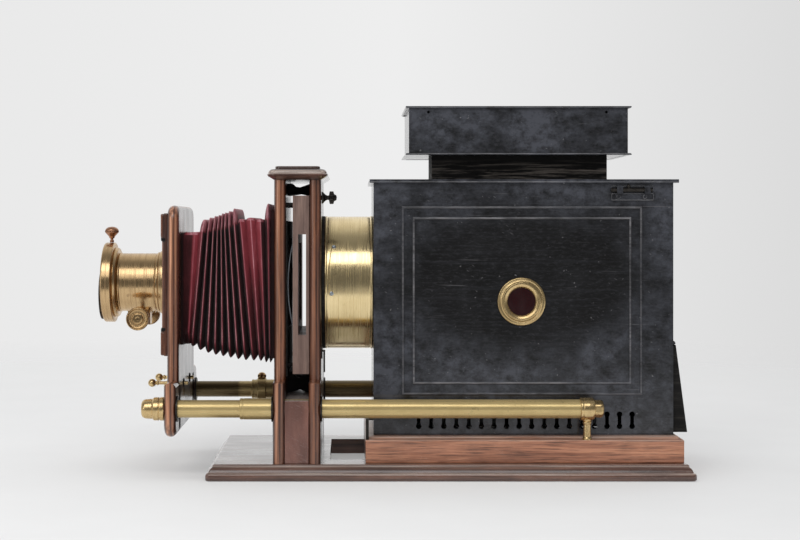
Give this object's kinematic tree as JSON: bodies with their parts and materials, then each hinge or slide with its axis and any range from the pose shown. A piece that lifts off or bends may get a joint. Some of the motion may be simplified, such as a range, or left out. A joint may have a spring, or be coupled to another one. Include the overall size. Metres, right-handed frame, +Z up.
{
  "type": "projection lantern",
  "caption": "Antique projection lantern: wooden base and slide stage, black iron lamphouse with chimney, brass condenser drum, sliding tubes, red bellows and brass objective.",
  "frame": {"origin": "underside of the base, straight below the middle of the slide gate", "axes": "+X along the optical axis from objective to lamphouse, +Z up, +Y to the lamp door's side"},
  "size_m": [0.6102, 0.232, 0.377],
  "materials": {
    "mahogany": "varnished, worn",
    "walnut": "polished",
    "japanned_iron": "satin, scuffed",
    "dark_steel": "dull",
    "brass": "lacquered, worn",
    "old_brass": "tarnished",
    "bellows_leather": "pleated",
    "ruby_glass": "dark red",
    "clear_glass": "polished",
    "lime": "chalky"
  },
  "bodies": {
    "stand": {"base_board": "mahogany", "plinth": "walnut", "stage_front_board": "mahogany", "stage_rear_board": "mahogany", "stage_block": "mahogany", "stage_cap": "mahogany", "gate_plate": "dark_steel", "gate_guide_pins": "brass", "bow_springs": "dark_steel", "stage_hook": "dark_steel", "plinth_catch": "dark_steel", "condenser_drum": "brass", "condenser_cell": "old_brass", "condenser_lenses": "clear_glass", "outer_tubes": "brass", "tube_sleeves": "old_brass", "tube_plates": "dark_steel", "tube_pillars": "brass", "bellows_rear_frame": "dark_steel", "lamphouse_near_side": "japanned_iron", "lamphouse_far_side": "japanned_iron", "lamphouse_ends": "japanned_iron", "lamphouse_floor": "japanned_iron", "lamphouse_roof": "japanned_iron", "window_ring": "brass", "ruby_glass": "ruby_glass", "bolt_plate": "japanned_iron", "chimney_neck": "japanned_iron"},
    "front": {"inner_tubes": "brass", "tube_cap_nuts": "old_brass", "front_standard": "mahogany", "standard_plates": "dark_steel", "lens_board": "mahogany", "standard_fasteners": "dark_steel", "bellows_front_frame": "dark_steel", "bellows": "bellows_leather", "lens_jacket": "old_brass"},
    "lens": {"draw_tube": "brass", "focus_rack": "brass", "lens_hood": "old_brass", "lens_elements": "clear_glass"},
    "pinion": {"focus_pinion": "brass"},
    "flasher": {"flasher": "dark_steel"},
    "hood_screw": {"hood_screw": "old_brass"},
    "clamp_screw": {"tube_clamp_screw": "brass"},
    "ball_near": {"ball_screw_near": "brass"},
    "ball_far": {"ball_screw_far": "brass"},
    "stage_screw": {"stage_screw": "dark_steel"},
    "slide_frame": {"slide_frame": "walnut"},
    "side_bolt": {"side_bolt": "japanned_iron"},
    "lamp_door": {"lamp_door": "japanned_iron", "door_window": "brass", "door_glass": "ruby_glass"},
    "cowl": {"chimney_cowl": "japanned_iron"},
    "rear_flap": {"rear_flap": "japanned_iron"},
    "tray": {"lamp_tray": "dark_steel"},
    "burner": {"lime_burner": "old_brass"},
    "lime": {"lime_spindle": "lime"},
    "oxygen_tap": {"oxygen_tap": "old_brass"},
    "hydrogen_tap": {"hydrogen_tap": "old_brass"}
  },
  "joints": [
    {"name": "front_slide", "type": "slide", "parent": "stand", "child": "front", "axis": [1, 0, 0], "range_m": [-0.15, 0.05], "deforming": ["bellows"]},
    {"name": "focus_slide", "type": "slide", "parent": "front", "child": "lens", "axis": [-1, 0, 0], "range_m": [0, 0.032]},
    {"name": "pinion_turn", "type": "hinge", "parent": "front", "child": "pinion", "pos_m": [-0.171, 0, 0.15755], "axis": [0, -1, 0], "range_deg": [0, 367]},
    {"name": "flasher_swing", "type": "hinge", "parent": "lens", "child": "flasher", "pos_m": [-0.213, 0.0399, 0.194], "axis": [1, 0, 0], "range_deg": [-14, 100]},
    {"name": "hood_screw_turn", "type": "hinge", "parent": "lens", "child": "hood_screw", "pos_m": [-0.2048, 0, 0.24], "axis": [0, 0, 1], "continuous": true},
    {"name": "clamp_screw_turn", "type": "hinge", "parent": "stand", "child": "clamp_screw", "pos_m": [-0.05, 0.095, 0.085], "axis": [0, 0, 1], "continuous": true},
    {"name": "ball_near_turn", "type": "hinge", "parent": "front", "child": "ball_near", "pos_m": [-0.15, -0.03, 0.0895], "axis": [1, 0, 0], "continuous": true},
    {"name": "ball_far_turn", "type": "hinge", "parent": "front", "child": "ball_far", "pos_m": [-0.15, 0.03, 0.0895], "axis": [1, 0, 0], "continuous": true},
    {"name": "stage_screw_turn", "type": "hinge", "parent": "stand", "child": "stage_screw", "pos_m": [0.025, -0.066, 0.283], "axis": [1, 0, 0], "continuous": true},
    {"name": "gate_press", "type": "slide", "parent": "stand", "child": "slide_frame", "axis": [-1, 0, 0], "range_m": [0, 0.003], "stiffness_N_per_m": 600, "springref_m": -0.002, "deforming": ["bow_springs"]},
    {"name": "bolt_slide", "type": "slide", "parent": "stand", "child": "side_bolt", "axis": [1, 0, 0], "range_m": [-0.004, 0.013]},
    {"name": "door_swing", "type": "hinge", "parent": "stand", "child": "lamp_door", "pos_m": [0.0994, 0.0778, 0.178], "axis": [0, 0, 1], "range_deg": [0, 110]},
    {"name": "cowl_lift", "type": "slide", "parent": "stand", "child": "cowl", "axis": [0, 0, 1], "range_m": [0, 0.06]},
    {"name": "flap_swing", "type": "hinge", "parent": "stand", "child": "rear_flap", "pos_m": [0.3814, 0, 0.134], "axis": [0, -1, 0], "range_deg": [0, 85]},
    {"name": "tray_slide", "type": "slide", "parent": "stand", "child": "tray", "axis": [1, 0, 0], "range_m": [-0.015, 0.04]},
    {"name": "burner_height", "type": "slide", "parent": "tray", "child": "burner", "axis": [0, 0, 1], "range_m": [-0.02, 0.025]},
    {"name": "lime_turn", "type": "hinge", "parent": "burner", "child": "lime", "pos_m": [0.165, 0, 0.194], "axis": [0, 0, 1], "continuous": true},
    {"name": "oxygen_tap_turn", "type": "hinge", "parent": "burner", "child": "oxygen_tap", "pos_m": [0.261, -0.006, 0.16], "axis": [0, 0, 1], "range_deg": [0, 90]},
    {"name": "hydrogen_tap_turn", "type": "hinge", "parent": "burner", "child": "hydrogen_tap", "pos_m": [0.261, 0.006, 0.16], "axis": [0, 0, 1], "range_deg": [0, 90]}
  ],
  "couplings": [
    {"joint": "pinion_turn", "follows": "focus_slide", "rad_per_m": 200}
  ]
}
